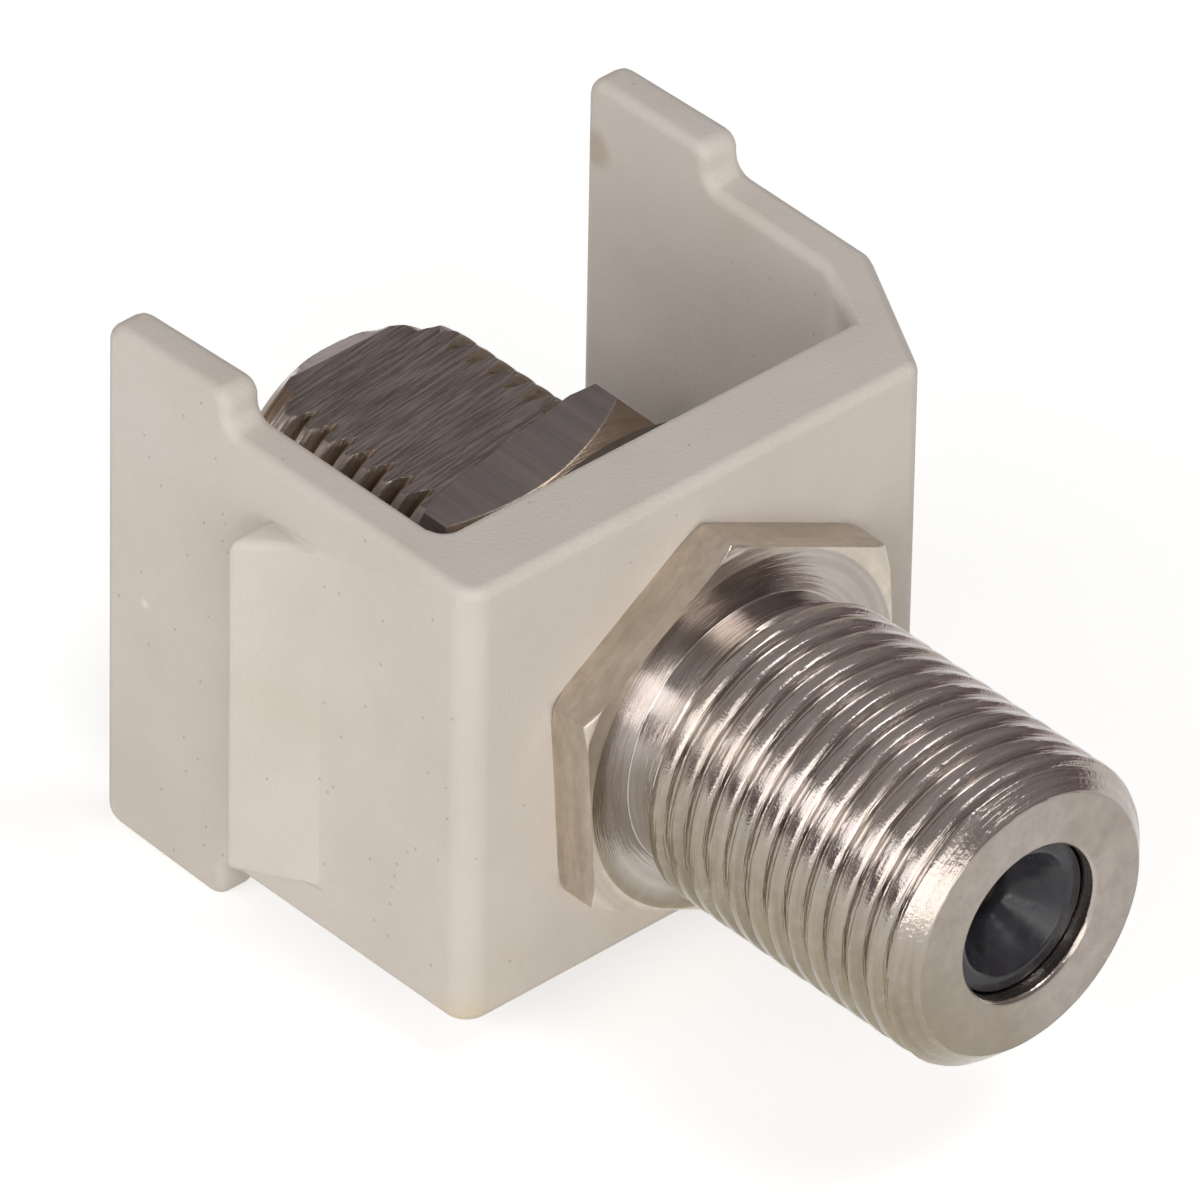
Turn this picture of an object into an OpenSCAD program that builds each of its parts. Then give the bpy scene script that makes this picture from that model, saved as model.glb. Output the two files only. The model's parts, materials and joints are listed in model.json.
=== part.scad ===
// Snap-in F-type coaxial coupler: a double-ended threaded barrel held in a
// moulded U-shaped carrier by its hex flange, a lock washer and a hex nut.
// Millimetres, +Z up. The barrel runs along Y and the front port points to -Y.
// The origin is on the barrel's axis, in the outer face of the front wall.

/* [Barrel] */
// Major diameter of the coupler thread
thread_d = 9.4; // [9.2:0.05:9.5]
// Length of the barrel in front of the front wall
front_length = 13; // [11:0.1:16]
// Length of the barrel behind the front wall's outer face
rear_length = 15.5; // [14.5:0.1:18]
// Flank depth of the thread, taken off for reliefs and noses
thread_depth = 0.5; // [0.4:0.02:0.55]
// Distance across the flats of the hex flange
flange_af = 11.1; // [10.8:0.1:12.5]
// Thickness of the hex flange
flange_thickness = 1.5; // [1.2:0.1:2.5]
// Turn of the hex flange about the barrel's axis, in degrees
flange_turn = 3.9; // [0:0.1:60]
// Height of the corner chamfers of the flange
flange_chamfer = 0.3; // [0.1:0.05:0.5]
// Plain relief between the flange and the front thread
relief_length = 1.35; // [0.4:0.05:2]
// Lead-in chamfer at the front end
front_chamfer = 0.7; // [0.4:0.05:0.9]
// Length of the plain nose at the rear end
nose_length = 1.05; // [0.6:0.05:1.5]
// Chamfer at the end of the rear nose
rear_chamfer = 0.4; // [0.2:0.05:0.5]
// Distance from the axis to the flat milled along the rear thread
flat_height = 3.55; // [3.5:0.05:4]

/* [Ports] */
// Diameter of the opening in each end of the barrel
aperture_d = 4.76; // [4.4:0.02:5]
// Thickness of the lip around the front opening
lip_thickness = 0.9; // [0.7:0.05:1.2]
// Diameter of the bore that holds the insulators
core_d = 6.6; // [6:0.05:6.9]
// Thickness of the ring that closes the rear end
ring_thickness = 0.8; // [0.6:0.05:1.2]
// Depth of the rim left behind the rear ring
ring_recess = 0.2; // [0.1:0.05:0.4]
// Depth of the insulator's face behind the end of the barrel
face_depth = 0.52; // [0.4:0.02:0.6]

/* [Centre contact] */
// Outside diameter of the spring fingers
contact_d = 1.9; // [1.6:0.05:2.1]
// Inside diameter of the sprung bore
contact_bore_d = 0.95; // [0.8:0.05:1.1]
// Depth of each sprung bore
contact_bore_depth = 8; // [6:0.5:9]
// Length of the saw cuts that make the fingers
slit_length = 5.5; // [4:0.5:6]
// Width of the saw cuts
slit_width = 0.25; // [0.15:0.05:0.3]
// Diameter of the collar that locks the contact in place
collar_d = 3; // [2.6:0.1:3.6]
// Length of the collar
collar_length = 1.5; // [1:0.1:3]

/* [Insulators] */
// Mouth diameter of the funnel that guides the centre wire
funnel_d = 3.1; // [2.4:0.1:3.6]
// Diameter of the wire hole
wire_hole_d = 1.5; // [1.3:0.05:1.6]
// Depth of the funnel
funnel_depth = 1.4; // [1:0.05:1.8]
// Length of the wire hole between the funnel and the contact
wire_land = 0.4; // [0.2:0.05:0.8]
// Radial gap between the contact and its cavity
contact_gap = 0.25; // [0.15:0.05:0.4]
// Radial clearance of the inserts in the core bore
insert_clearance = 0.03; // [0.01:0.01:0.08]

/* [Nut and washer] */
// Distance across the flats of the nut
nut_af = 11.1; // [10.8:0.1:11.8]
// Thickness of the nut
nut_thickness = 3.2; // [2.4:0.1:3.6]
// Turn of the nut about the barrel's axis, in degrees
nut_turn = 42.1; // [0:0.1:60]
// Axial depth of the turned collar on the nut's front face
nut_collar = 0.7; // [0.4:0.1:0.9]
// Radial clearance between the nut's thread and the barrel's
nut_clearance = 0.05; // [0.02:0.01:0.08]
// Outside diameter of the toothed lock washer
washer_d = 13.6; // [12.5:0.1:14]
// Thickness of the lock washer
washer_thickness = 1.1; // [0.6:0.1:1.3]
// Number of teeth inside the lock washer
washer_teeth = 12; // [8:1:16]

/* [Carrier] */
// Width of the carrier over its side walls
width = 18.95; // [18.5:0.05:20.5]
// Offset of the carrier's middle from the barrel's axis
side_offset = 0.74; // [0:0.02:0.8]
// Height of the carrier's body
height = 14.7; // [14.4:0.05:15]
// Height of the barrel's axis above the underside of the body
axis_height = 6.9; // [6.85:0.05:7.5]
// Length of the carrier from front to back
depth = 14.95; // [14.2:0.05:15.5]
// Thickness of the front wall
front_wall = 2.75; // [2.2:0.05:3]
// Thickness of the side walls at the front
side_wall = 1.46; // [1.3:0.02:1.7]
// Thickness of the side walls at the rear
side_wall_rear = 1.33; // [1.1:0.02:1.5]
// Radial clearance of the barrel in the front wall
hole_clearance = 0.1; // [0.05:0.05:0.3]
// Length of the sloped corner along the side
corner_length = 4.7; // [4:0.1:5.5]
// Width of the sloped corner along the front
corner_width = 2.5; // [2:0.1:2.6]
// Radius of the square corner, outside
corner_radius = 0.8; // [0.4:0.05:1.2]
// Radius of the square corner, inside
inner_radius = 0.5; // [0.3:0.05:0.7]

/* [Snap features] */
// Length of the raised rear tabs
tab_length = 4.95; // [4:0.05:6]
// Rise of the upper tabs at their front shoulder
tab_rise_top = 1.2; // [0.8:0.05:1.6]
// Rise of the lower tabs at their front shoulder
tab_rise_bottom = 1.4; // [0.8:0.05:1.8]
// Fall of each tab from its shoulder to the rear
tab_fall = 0.17; // [0:0.01:0.4]
// Distance from the front to the start of each side ramp
ramp_start = 6; // [5.6:0.1:6.6]
// Length of each side ramp
ramp_length = 2.2; // [1.8:0.1:2.6]
// Height of the ramp's shoulder off the side wall
ramp_rise = 1.6; // [1:0.1:1.8]
// Height of the ramp along Z
ramp_height = 11.4; // [9:0.1:12]
// Gap under the ramp, from the underside of the body
ramp_base = 1.5; // [1:0.1:2]

/* [Hidden] */
$fn = 96;
eps = 0.01;

thread_r = thread_d / 2;
root_r = thread_r - thread_depth;
pitch_r = thread_r - thread_depth / 2;
core_r = core_d / 2;
aperture_r = aperture_d / 2;
insert_r = core_r - insert_clearance;
contact_r = contact_d / 2;
bore_r = contact_bore_d / 2;
collar_r = collar_d / 2;
cavity_r = contact_r + contact_gap;
wire_r = wire_hole_d / 2;

barrel_front = -front_length;
barrel_rear = rear_length;
lip_back = barrel_front + lip_thickness;
ring_back = barrel_rear - ring_recess;
ring_front = ring_back - ring_thickness;
core_mid = (lip_back + ring_front) / 2;
collar_front = core_mid - collar_length / 2;
collar_back = core_mid + collar_length / 2;
face_front = barrel_front + face_depth;
face_rear = barrel_rear - face_depth;
tip_depth = funnel_depth + wire_land;
tip_front = face_front + tip_depth;
tip_rear = face_rear - tip_depth;

washer_front = front_wall;
washer_back = washer_front + washer_thickness;
nut_back = washer_back + nut_thickness;
nut_collar_r = thread_r + nut_clearance + 0.28;
nut_cone_r = nut_af / 2 / cos(30) + 0.2;
tooth_root_r = thread_r + 0.85;
tooth_tip_r = thread_r + 0.1;
tooth_width = 1.3 * 12 / washer_teeth;

left_x = side_offset - width / 2;
right_x = side_offset + width / 2;
top_z = height - axis_height;
bottom_z = -axis_height;
shoulder_y = depth - tab_length;
hole_r = thread_r + hole_clearance;
hole_flat = flat_height + hole_clearance;
inner_left = left_x + side_wall;
inner_right = right_x - side_wall;
slope = corner_width / corner_length;
slope_x = right_x - corner_width - side_wall * sqrt(1 + slope * slope);
ramp_z = bottom_z + ramp_base;
washer_r = min(washer_d / 2, -inner_left - inner_radius - 0.01,
    slope_x + slope * front_wall - 0.01);

// Sub-part to build

// Turns children drawn along +Z so that they run along +Y.
module along_y() {
    rotate([-90, 0, 0]) children();
}

// A turned solid: points are [radius, y].
module turned(points) {
    along_y() rotate_extrude() polygon(points);
}

// A round bar or bore between two stations on the barrel's axis.
module round_y(r, y0, y1) {
    translate([0, y0, 0]) along_y() cylinder(r = r, h = y1 - y0);
}

// A hexagonal bar between two stations, one flat facing the given angle.
module hex_y(af, y0, y1, turn) {
    translate([0, y0, 0]) along_y() rotate([0, 0, 30 - turn])
        cylinder(r = af / sqrt(3), h = y1 - y0, $fn = 6);
}

// Hex flange with its corners turned off on both faces.
module flange() {
    corner = flange_af / sqrt(3);
    intersection() {
        hex_y(flange_af, -flange_thickness, 0, flange_turn);
        turned([[0, -flange_thickness], [corner - flange_chamfer * 1.7, -flange_thickness],
            [corner + 0.02, -flange_thickness + flange_chamfer],
            [corner + 0.02, -flange_chamfer], [corner - flange_chamfer * 1.7, 0], [0, 0]]);
    }
}

// Barrel blank: thread crests as plain cylinders, one turned outline. Where
// the nut's thread engages, both threads are drawn at their pitch radius.
module barrel_blank() {
    turned([[0, barrel_front], [thread_r - front_chamfer, barrel_front],
        [thread_r, barrel_front + front_chamfer],
        [thread_r, -flange_thickness - relief_length],
        [root_r, -flange_thickness - relief_length + 0.2],
        [root_r, -flange_thickness / 2], [thread_r, -flange_thickness / 2],
        [thread_r, washer_back], [pitch_r, washer_back],
        [pitch_r, nut_back], [thread_r, nut_back],
        [thread_r, barrel_rear - nose_length - 0.25],
        [root_r, barrel_rear - nose_length],
        [root_r, barrel_rear - rear_chamfer],
        [root_r - rear_chamfer, barrel_rear], [0, barrel_rear]]);
}

module connector_body() {
    color([0.62, 0.59, 0.56])
    difference() {
        union() {
            barrel_blank();
            flange();
        }
        // milled flat that keys the barrel in the front wall
        translate([-thread_d, 0, flat_height])
            cube([2 * thread_d, barrel_rear + 1, thread_d]);
        // front opening, then the core bore out to the rear end
        round_y(aperture_r, barrel_front - 1, lip_back + eps);
        round_y(core_r, lip_back, barrel_rear + 1);
        // rounded lead on the front lip
        turned([[0, barrel_front - 0.1], [aperture_r + 0.22, barrel_front - 0.1],
            [aperture_r + 0.12, barrel_front], [aperture_r, barrel_front + 0.12],
            [0, barrel_front + 0.12]]);
    }
}

// Half of the insulator pair, drawn for the front port.
module insulator(face, back, inside, sign) {
    boss_r = aperture_r - insert_clearance;
    difference() {
        turned([[0, face], [boss_r - 0.05, face], [boss_r, face + sign * 0.05],
            [boss_r, inside], [insert_r, inside], [insert_r, back], [0, back]]);
        // funnel and wire hole
        turned([[0, face - sign * 1], [funnel_d / 2 + 0.05, face - sign * 1],
            [funnel_d / 2, face], [wire_r, face + sign * funnel_depth],
            [wire_r, face + sign * (tip_depth)],
            [0, face + sign * (tip_depth)]]);
        // cavity for the spring fingers
        round_y(cavity_r, min(face + sign * tip_depth, back + sign * 1),
            max(face + sign * tip_depth, back + sign * 1));
    }
}

module front_insulator() {
    color([0.3, 0.28, 0.26])
    difference() {
        insulator(face_front, core_mid, lip_back, 1);
        round_y(collar_r + 0.03, collar_front, core_mid + 1);
    }
}

module rear_insulator() {
    color([0.3, 0.28, 0.26])
    difference() {
        insulator(face_rear, core_mid, ring_front, -1);
        round_y(collar_r + 0.03, core_mid - 1, collar_back);
    }
}

// Double-ended socket: split spring fingers at both ends of a solid middle.
module centre_contact() {
    color([0.72, 0.6, 0.35])
    difference() {
        turned([[0, tip_front], [contact_r - 0.2, tip_front], [contact_r, tip_front + 0.6],
            [contact_r, collar_front], [collar_r, collar_front],
            [collar_r, collar_back], [contact_r, collar_back],
            [contact_r, tip_rear - 0.6], [contact_r - 0.2, tip_rear], [0, tip_rear]]);
        round_y(bore_r, tip_front - 1, tip_front + contact_bore_depth);
        round_y(bore_r, tip_rear - contact_bore_depth, tip_rear + 1);
        // one saw cut through each end, square to each other
        translate([-contact_d, tip_front - 1, -slit_width / 2])
            cube([2 * contact_d, slit_length + 1, slit_width]);
        translate([-slit_width / 2, tip_rear - slit_length, -contact_d])
            cube([slit_width, slit_length + 1, 2 * contact_d]);
    }
}

module retaining_ring() {
    color([0.62, 0.59, 0.56])
    turned([[aperture_r, ring_front], [insert_r, ring_front], [insert_r, ring_back - 0.15],
        [insert_r - 0.15, ring_back], [aperture_r + 0.2, ring_back],
        [aperture_r, ring_back - 0.2]]);
}

// Nut: hex bar, turned to a cone and a bearing collar on its front side.
module mounting_nut() {
    corner = nut_af / sqrt(3);
    cone_front = washer_back + nut_collar;
    cone_back = cone_front + nut_cone_r - nut_collar_r;
    color([0.6, 0.57, 0.55])
    difference() {
        intersection() {
            hex_y(nut_af, washer_back, nut_back, nut_turn);
            turned([[0, washer_back], [nut_collar_r, washer_back],
                [nut_collar_r, cone_front], [nut_cone_r, cone_back],
                [nut_cone_r, nut_back], [0, nut_back]]);
        }
        round_y(pitch_r + nut_clearance, washer_back - 1, nut_back + 1);
    }
}

module lock_washer() {
    color([0.5, 0.48, 0.46])
    union() {
        difference() {
            round_y(washer_r, washer_front, washer_back);
            round_y(tooth_root_r, washer_front - 1, washer_back + 1);
        }
        for (i = [0 : washer_teeth - 1]) rotate([0, i * 360 / washer_teeth, 0])
            intersection() {
                translate([tooth_tip_r, washer_front, -tooth_width / 2])
                    cube([tooth_root_r - tooth_tip_r + 0.4, washer_thickness, tooth_width]);
                difference() {
                    round_y(washer_r, washer_front, washer_back);
                    round_y(tooth_tip_r + 0.02, washer_front - 1, washer_back + 1);
                }
            }
    }
}

// Outline of the carrier seen from above, with one sloped front corner.
module carrier_plan() {
    difference() {
        polygon([[left_x, 0], [right_x - corner_width, 0], [right_x, corner_length],
            [right_x, depth], [left_x, depth]]);
        polygon([[inner_left, front_wall],
            [slope_x + slope * front_wall, front_wall],
            [inner_right, (inner_right - slope_x) / slope],
            [right_x - side_wall_rear, depth + 1], [left_x + side_wall_rear, depth + 1]]);
    }
}

// Tabs on both side walls: shoulders face the front, tops fall to the rear.
module tabs() {
    intersection() {
        translate([0, 0, bottom_z - tab_rise_bottom - 1])
            linear_extrude(height = height + tab_rise_top + tab_rise_bottom + 2) carrier_plan();
        for (up = [1, -1]) {
            z = up > 0 ? top_z : bottom_z;
            rise = up > 0 ? tab_rise_top : tab_rise_bottom;
            translate([left_x - 1, 0, 0]) rotate([90, 0, 90]) linear_extrude(height = width + 2)
                polygon([[shoulder_y, z - up * 2], [shoulder_y, z + up * rise],
                    [depth, z + up * (rise - tab_fall)], [depth, z - up * 2]]);
        }
    }
}

// A snap ramp on one side: it grows towards the rear and ends in a shoulder.
module ramp(x, out) {
    translate([0, 0, ramp_z]) linear_extrude(height = ramp_height)
        polygon([[x - out * 0.3, ramp_start], [x, ramp_start],
            [x + out * ramp_rise, ramp_start + ramp_length],
            [x - out * 0.3, ramp_start + ramp_length]]);
}

module carrier() {
    color([0.86, 0.81, 0.75])
    difference() {
        union() {
            translate([0, 0, bottom_z]) linear_extrude(height = height) carrier_plan();
            // fillet inside the square corner
            translate([inner_left, front_wall, bottom_z]) difference() {
                translate([-0.2, -0.2, 0]) cube([inner_radius + 0.2, inner_radius + 0.2, height]);
                translate([inner_radius, inner_radius, -1])
                    cylinder(r = inner_radius, h = height + 2);
            }
            tabs();
            ramp(left_x, -1);
            ramp(right_x, 1);
        }
        // round the square front corner
        translate([left_x, 0, bottom_z - 1]) difference() {
            translate([-1, -1, 0]) cube([corner_radius + 1, corner_radius + 1, height + 2]);
            translate([corner_radius, corner_radius, -1])
                cylinder(r = corner_radius, h = height + 4);
        }
        // keyed hole for the barrel
        intersection() {
            round_y(hole_r, -1, front_wall + 1);
            translate([-hole_r - 1, -2, -hole_r - 1])
                cube([2 * hole_r + 2, front_wall + 4, hole_r + 1 + hole_flat]);
        }
    }
}

carrier();
connector_body();
mounting_nut();
lock_washer();
front_insulator();
rear_insulator();
centre_contact();
retaining_ring();
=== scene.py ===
"""Snap-in coaxial coupler: detailed turned parts, moulded carrier, finishes and studio.

Lengths are in metres. The barrel runs along Y, the front port points to -Y, and
the origin is on the barrel's axis in the outer face of the carrier's front wall.
"""

import json
import logging
import math
from collections.abc import Callable
from dataclasses import dataclass, field
from enum import Enum
from typing import ClassVar

import bmesh
import bpy
import numpy as np
from mathutils import Matrix, Vector


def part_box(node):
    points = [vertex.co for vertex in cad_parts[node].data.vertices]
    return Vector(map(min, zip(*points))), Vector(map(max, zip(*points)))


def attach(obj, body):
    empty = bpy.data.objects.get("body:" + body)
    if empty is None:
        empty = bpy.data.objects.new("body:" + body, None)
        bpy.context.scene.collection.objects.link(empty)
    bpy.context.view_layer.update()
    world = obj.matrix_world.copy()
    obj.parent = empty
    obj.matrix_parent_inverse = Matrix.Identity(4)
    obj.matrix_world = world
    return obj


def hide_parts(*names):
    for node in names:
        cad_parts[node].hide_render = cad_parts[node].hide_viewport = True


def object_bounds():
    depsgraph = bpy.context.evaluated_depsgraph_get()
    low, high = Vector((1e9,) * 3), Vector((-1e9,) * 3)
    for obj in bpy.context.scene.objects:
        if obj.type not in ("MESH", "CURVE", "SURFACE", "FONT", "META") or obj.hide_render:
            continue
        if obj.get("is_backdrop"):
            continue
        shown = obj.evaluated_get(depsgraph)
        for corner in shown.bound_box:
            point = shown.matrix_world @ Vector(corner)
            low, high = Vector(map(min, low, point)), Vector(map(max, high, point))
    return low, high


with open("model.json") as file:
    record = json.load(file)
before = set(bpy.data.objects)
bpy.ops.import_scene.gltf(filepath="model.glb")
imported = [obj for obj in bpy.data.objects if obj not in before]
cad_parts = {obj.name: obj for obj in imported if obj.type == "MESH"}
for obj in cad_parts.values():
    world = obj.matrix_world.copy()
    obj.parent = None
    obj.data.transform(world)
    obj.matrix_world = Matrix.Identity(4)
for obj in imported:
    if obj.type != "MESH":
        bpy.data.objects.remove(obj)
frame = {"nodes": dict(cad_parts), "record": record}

LOG = logging.getLogger("coupler")
MM = 0.001
ROOT_BODY = "root"

Colour = tuple[float, float, float]
Ring = tuple[np.ndarray, np.ndarray]
Section = list[tuple[float | np.ndarray, float | np.ndarray]]
Socket = bpy.types.NodeSocket


class Port(Enum):
    """The two ends of the barrel, by the direction in which each one points."""

    FRONT = -1
    REAR = 1


# Shader building


@dataclass
class NodeBench:
    """Places and wires shader nodes in one node tree."""

    tree: bpy.types.NodeTree

    def add(self, kind: str, **settings: object) -> bpy.types.Node:
        """Adds a node.

        Args:
            kind: Blender's node type name.
            settings: Attributes to set on the node.

        Returns:
            The new node.
        """
        made = self.tree.nodes.new(kind)
        for name, value in settings.items():
            setattr(made, name, value)
        return made

    def wire(self, source: Socket, target: Socket) -> None:
        """Links an output to an input."""
        self.tree.links.new(source, target)

    def feed(self, target: Socket, value: object) -> None:
        """Wires an output to a socket, or sets the socket to a plain value.

        Args:
            target: The input socket.
            value: A socket to link from, or a number, vector or colour.
        """
        if isinstance(value, Socket):
            self.wire(value, target)
        else:
            target.default_value = value

    def maths(self, operation: str, a: object, b: object = 0.0, clamp: bool = False) -> Socket:
        """A scalar operation on two values or sockets.

        Args:
            operation: Name of the Math node's operation.
            a: First value or socket.
            b: Second value or socket.
            clamp: Whether the result is held between 0 and 1.

        Returns:
            The result's socket.
        """
        made = self.add("ShaderNodeMath", operation=operation, use_clamp=clamp)
        self.feed(made.inputs[0], a)
        self.feed(made.inputs[1], b)
        return made.outputs[0]

    def times(self, a: object, b: object) -> Socket:
        """The product of two values or sockets."""
        return self.maths("MULTIPLY", a, b)

    def plus(self, a: object, b: object) -> Socket:
        """The sum of two values or sockets."""
        return self.maths("ADD", a, b)

    def ramp(
        self, value: object, low: float, high: float, out_low: float = 0.0, out_high: float = 1.0
    ) -> Socket:
        """Maps a value's range smoothly onto another, held at both ends.

        Args:
            value: Value or socket to map.
            low: Input at which the output is out_low.
            high: Input at which the output is out_high.
            out_low: Output at the low end.
            out_high: Output at the high end.

        Returns:
            The mapped value's socket.
        """
        made = self.add("ShaderNodeMapRange", interpolation_type="SMOOTHSTEP")
        self.feed(made.inputs["Value"], value)
        limits = {"From Min": low, "From Max": high, "To Min": out_low, "To Max": out_high}
        for name, number in limits.items():
            self.feed(made.inputs[name], number)
        return made.outputs["Result"]

    def mix(self, factor: object, a: object, b: object) -> Socket:
        """Mixes two colours.

        Args:
            factor: Share of the second colour.
            a: First colour or socket.
            b: Second colour or socket.

        Returns:
            The mixed colour's socket.
        """
        made = self.add("ShaderNodeMix", data_type="RGBA")
        self.feed(made.inputs["Factor"], factor)
        for slot, value in ((made.inputs[6], a), (made.inputs[7], b)):
            self.feed(slot, (*value, 1.0) if isinstance(value, tuple) and len(value) == 3 else value)
        return made.outputs[2]

    def noise(self, vector: object, scale: object, detail: float = 3.0, rough: float = 0.5) -> Socket:
        """A noise value over a vector.

        Args:
            vector: Coordinates, as a socket.
            scale: Cells per metre of the coordinates, a number or a socket.
            detail: Octaves.
            rough: Weight of the finer octaves.

        Returns:
            The noise factor's socket.
        """
        made = self.add("ShaderNodeTexNoise", noise_dimensions="3D")
        self.feed(made.inputs["Vector"], vector)
        self.feed(made.inputs["Scale"], scale)
        made.inputs["Detail"].default_value = detail
        made.inputs["Roughness"].default_value = rough
        return made.outputs["Fac"]

    def object_point(self) -> Socket:
        """Coordinates in the part's own frame."""
        return self.add("ShaderNodeTexCoord").outputs["Object"]

    def axes(self, vector: object) -> tuple[Socket, ...]:
        """Splits a vector into its X, Y and Z sockets."""
        made = self.add("ShaderNodeSeparateXYZ")
        self.feed(made.inputs[0], vector)
        return tuple(made.outputs)

    def vector(self, x: object, y: object, z: object) -> Socket:
        """Joins three values or sockets into a vector."""
        made = self.add("ShaderNodeCombineXYZ")
        for slot, value in zip(made.inputs, (x, y, z)):
            self.feed(slot, value)
        return made.outputs[0]

    def off_axis(self, x: object, z: object) -> Socket:
        """Distance of a point from the barrel's axis.

        Args:
            x: The point's X.
            z: The point's Z.

        Returns:
            The distance's socket.
        """
        made = self.add("ShaderNodeVectorMath", operation="LENGTH")
        self.wire(self.vector(x, 0.0, z), made.inputs[0])
        return made.outputs["Value"]

    def either(self, share: object, first: object, second: object) -> Socket:
        """Picks between two values.

        Args:
            share: 0 for the first, 1 for the second.
            first: First value or socket.
            second: Second value or socket.

        Returns:
            The chosen value's socket.
        """
        made = self.add("ShaderNodeMix", data_type="FLOAT")
        self.feed(made.inputs["Factor"], share)
        self.feed(made.inputs[2], first)
        self.feed(made.inputs[3], second)
        return made.outputs[0]

    def blend(self, share: Socket, first: Socket, second: Socket) -> Socket:
        """Blends two shaders.

        Args:
            share: 0 for the first, 1 for the second.
            first: First shader.
            second: Second shader.

        Returns:
            The blended shader's socket.
        """
        made = self.add("ShaderNodeMixShader")
        for slot, source in zip(made.inputs, (share, first, second)):
            self.wire(source, slot)
        return made.outputs[0]

    def shown(self) -> Socket:
        """Whether a ray comes from the camera, a reflection or a clear surface.

        Returns:
            The socket, 1 where it does.
        """
        path = self.add("ShaderNodeLightPath").outputs
        seen = self.maths("ADD", path["Is Camera Ray"], path["Is Glossy Ray"], True)
        return self.maths("ADD", seen, path["Is Transmission Ray"], True)


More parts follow.
